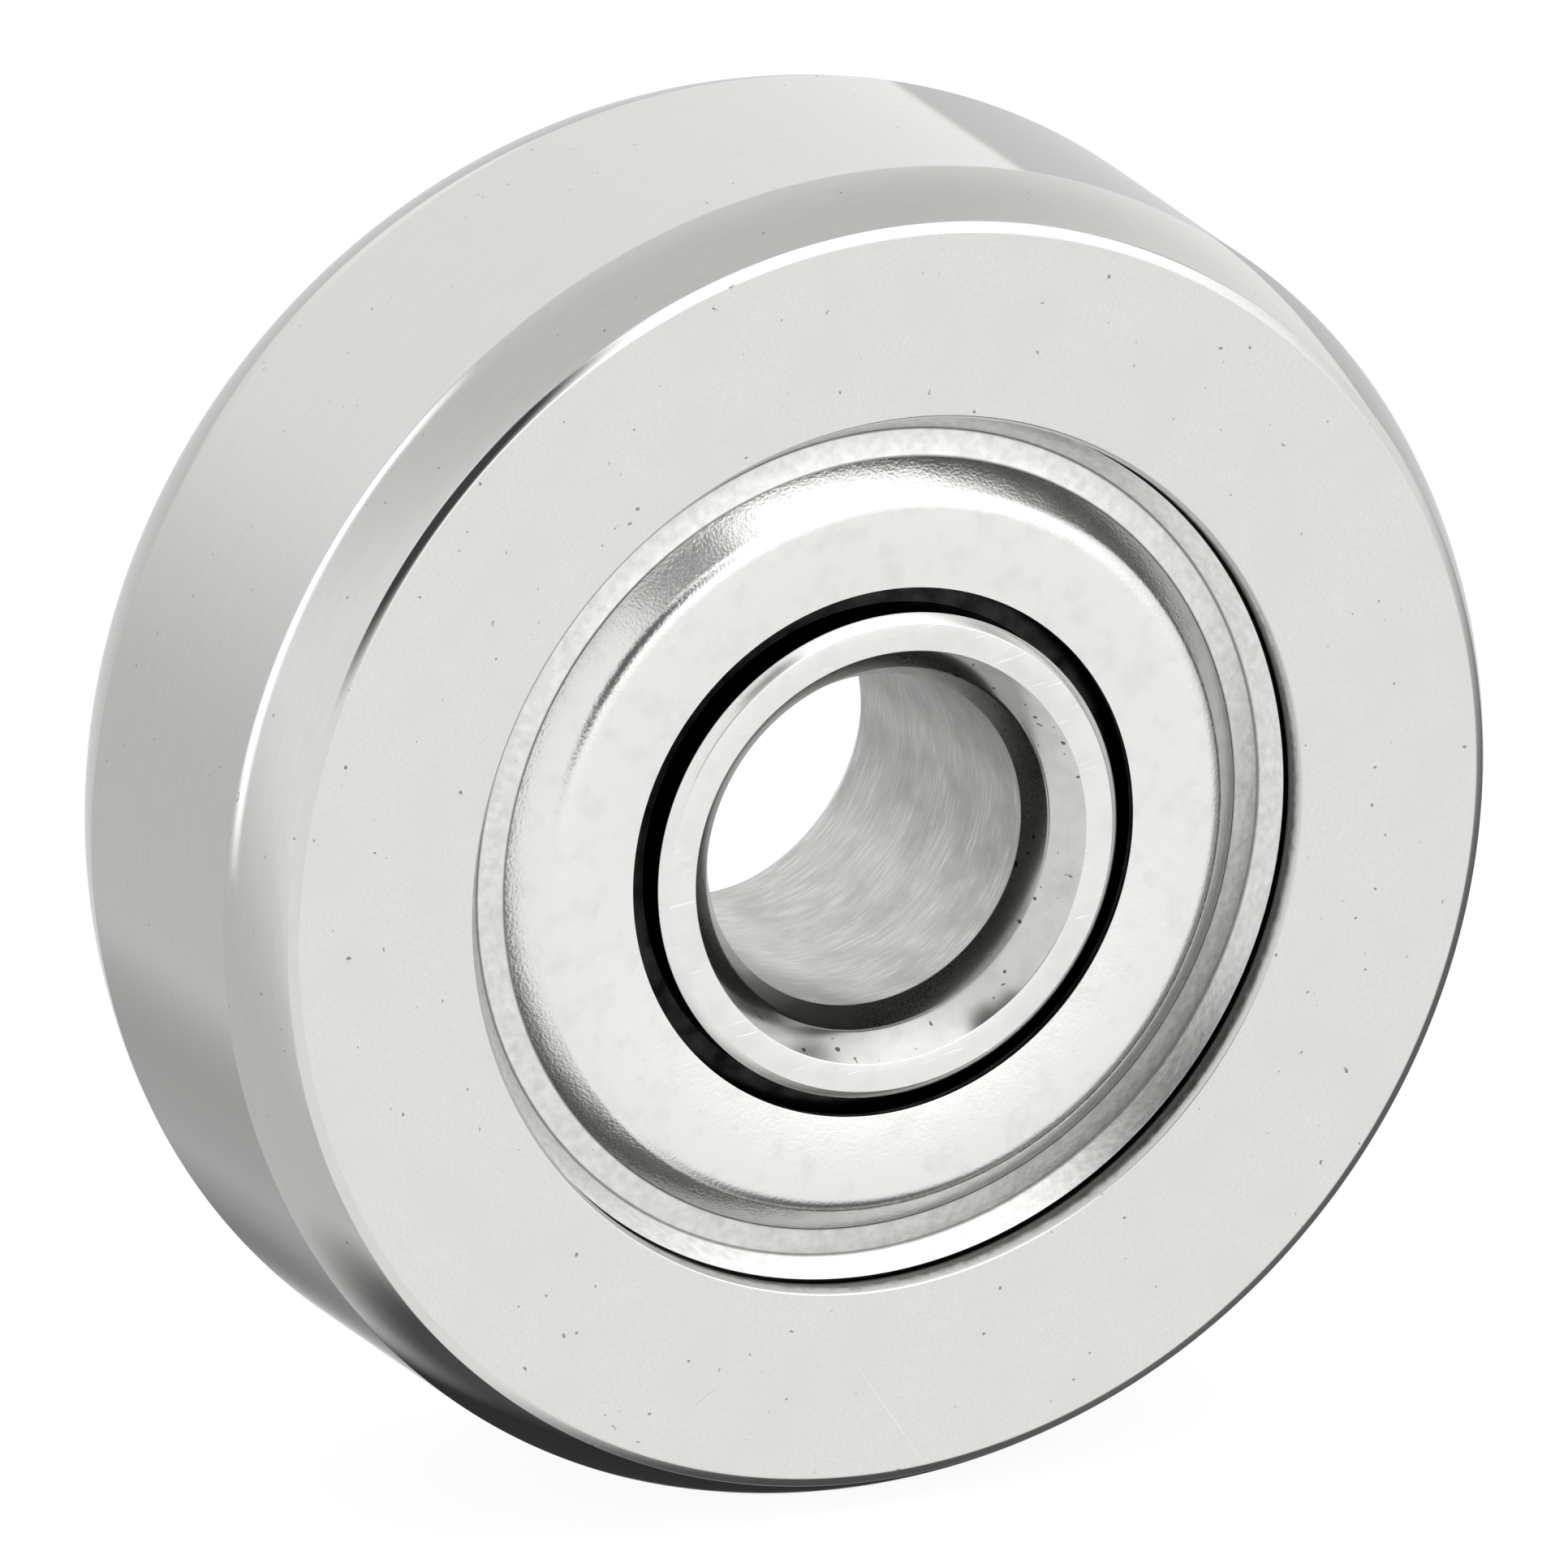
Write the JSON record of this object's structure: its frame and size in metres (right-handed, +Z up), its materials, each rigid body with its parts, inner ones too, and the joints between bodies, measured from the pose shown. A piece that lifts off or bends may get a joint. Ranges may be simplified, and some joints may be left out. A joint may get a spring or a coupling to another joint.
{
  "type": "ball bearing",
  "caption": "Shielded deep-groove ball bearing with a thick round-cornered outer ring that can run as a roller on a shaft through its bore.",
  "frame": {"origin": "centre of the bore, midway between the two faces", "axes": "Y along the turning axis with the front face towards -Y, +Z up, +X to the right seen from the front"},
  "size_m": [0.0508, 0.018, 0.0508],
  "materials": {
    "inner_ring_steel": "ground and turned bearing steel",
    "outer_ring_steel": "ground satin bearing steel",
    "shield_sheet": "pressed bright sheet steel",
    "cage_strip": "pressed low-carbon strip",
    "ball_steel": "hardened and lapped, mirror bright",
    "rivet_steel": "headed wire"
  },
  "bodies": {
    "inner": {"inner_ring": "inner_ring_steel"},
    "outer": {"outer_ring": "outer_ring_steel", "front_shield": "shield_sheet", "rear_shield": "shield_sheet"},
    "cage": {"front_cage_half": "cage_strip", "rear_cage_half": "cage_strip", "cage_rivet_1": "rivet_steel", "cage_rivet_2": "rivet_steel", "cage_rivet_3": "rivet_steel", "cage_rivet_4": "rivet_steel", "cage_rivet_5": "rivet_steel", "cage_rivet_6": "rivet_steel", "cage_rivet_7": "rivet_steel"},
    "ball_1": {"ball_1": "ball_steel"},
    "ball_2": {"ball_2": "ball_steel"},
    "ball_3": {"ball_3": "ball_steel"},
    "ball_4": {"ball_4": "ball_steel"},
    "ball_5": {"ball_5": "ball_steel"},
    "ball_6": {"ball_6": "ball_steel"},
    "ball_7": {"ball_7": "ball_steel"}
  },
  "joints": [
    {"name": "outer_ring_spin", "type": "hinge", "parent": "inner", "child": "outer", "pos_m": [0, 0, 0], "axis": [0, 1, 0], "continuous": true},
    {"name": "cage_spin", "type": "hinge", "parent": "inner", "child": "cage", "pos_m": [0, 0, 0], "axis": [0, 1, 0], "continuous": true},
    {"name": "ball_1_spin", "type": "hinge", "parent": "cage", "child": "ball_1", "pos_m": [0, 0, 0.013], "axis": [0, 1, 0], "continuous": true},
    {"name": "ball_2_spin", "type": "hinge", "parent": "cage", "child": "ball_2", "pos_m": [0.01017, 0, 0.00811], "axis": [0, 1, 0], "continuous": true},
    {"name": "ball_3_spin", "type": "hinge", "parent": "cage", "child": "ball_3", "pos_m": [0.01268, 0, -0.00289], "axis": [0, 1, 0], "continuous": true},
    {"name": "ball_4_spin", "type": "hinge", "parent": "cage", "child": "ball_4", "pos_m": [0.00564, 0, -0.01171], "axis": [0, 1, 0], "continuous": true},
    {"name": "ball_5_spin", "type": "hinge", "parent": "cage", "child": "ball_5", "pos_m": [-0.00564, 0, -0.01171], "axis": [0, 1, 0], "continuous": true},
    {"name": "ball_6_spin", "type": "hinge", "parent": "cage", "child": "ball_6", "pos_m": [-0.01268, 0, -0.00289], "axis": [0, 1, 0], "continuous": true},
    {"name": "ball_7_spin", "type": "hinge", "parent": "cage", "child": "ball_7", "pos_m": [-0.01017, 0, 0.00811], "axis": [0, 1, 0], "continuous": true}
  ],
  "couplings": [
    {"joint": "cage_spin", "follows": "outer_ring_spin", "ratio": 0.63736},
    {"joint": "ball_1_spin", "follows": "outer_ring_spin", "ratio": 1.6826},
    {"joint": "ball_2_spin", "follows": "outer_ring_spin", "ratio": 1.6826},
    {"joint": "ball_3_spin", "follows": "outer_ring_spin", "ratio": 1.6826},
    {"joint": "ball_4_spin", "follows": "outer_ring_spin", "ratio": 1.6826},
    {"joint": "ball_5_spin", "follows": "outer_ring_spin", "ratio": 1.6826},
    {"joint": "ball_6_spin", "follows": "outer_ring_spin", "ratio": 1.6826},
    {"joint": "ball_7_spin", "follows": "outer_ring_spin", "ratio": 1.6826}
  ]
}
